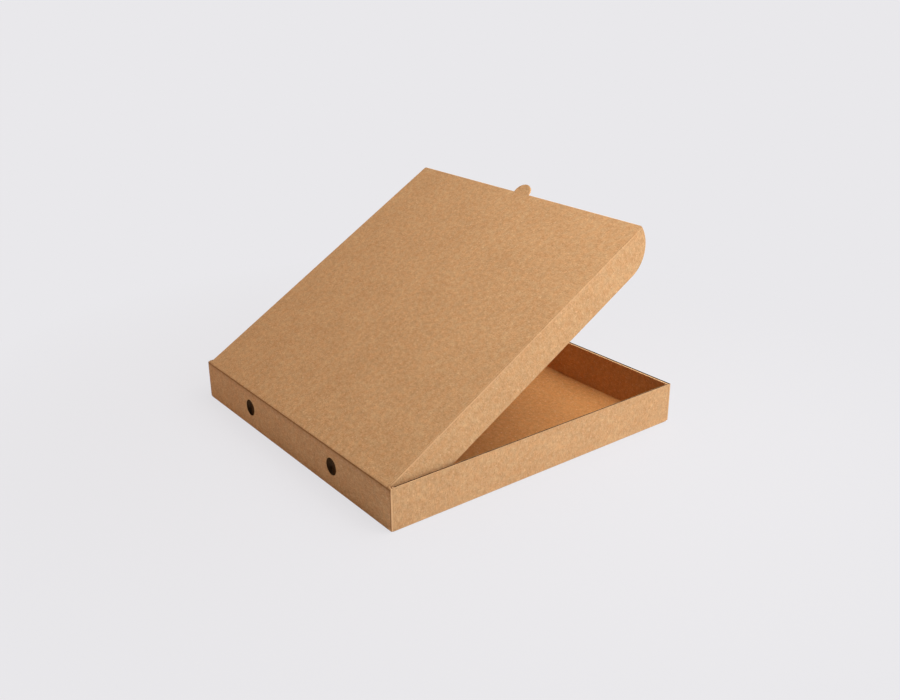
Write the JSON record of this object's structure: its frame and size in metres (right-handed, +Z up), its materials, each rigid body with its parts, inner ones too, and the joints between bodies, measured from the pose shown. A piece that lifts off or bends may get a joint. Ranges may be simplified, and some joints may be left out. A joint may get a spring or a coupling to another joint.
{
  "type": "pizza box",
  "caption": "Shallow square folding box of kraft fluted board: an open tray with vents and a hinged tuck lid with a thumb tab, standing half open.",
  "frame": {"origin": "centre of the underside, on the surface that the box stands on", "axes": "+Z up, +Y from the rear wall with the crease and vents to the front, +X along the crease"},
  "size_m": [0.33, 0.326, 0.2108],
  "materials": {
    "kraft_board": "matt unbleached kraft liner with fine fibre flecks"
  },
  "bodies": {
    "tray": {"base_tray": "kraft_board"},
    "cover": {"lid": "kraft_board"}
  },
  "joints": [
    {"name": "lid_hinge", "type": "hinge", "parent": "tray", "child": "cover", "pos_m": [0, -0.1621, 0.0391], "axis": [1, 0, 0], "range_deg": [-30.5, 154.2]}
  ]
}
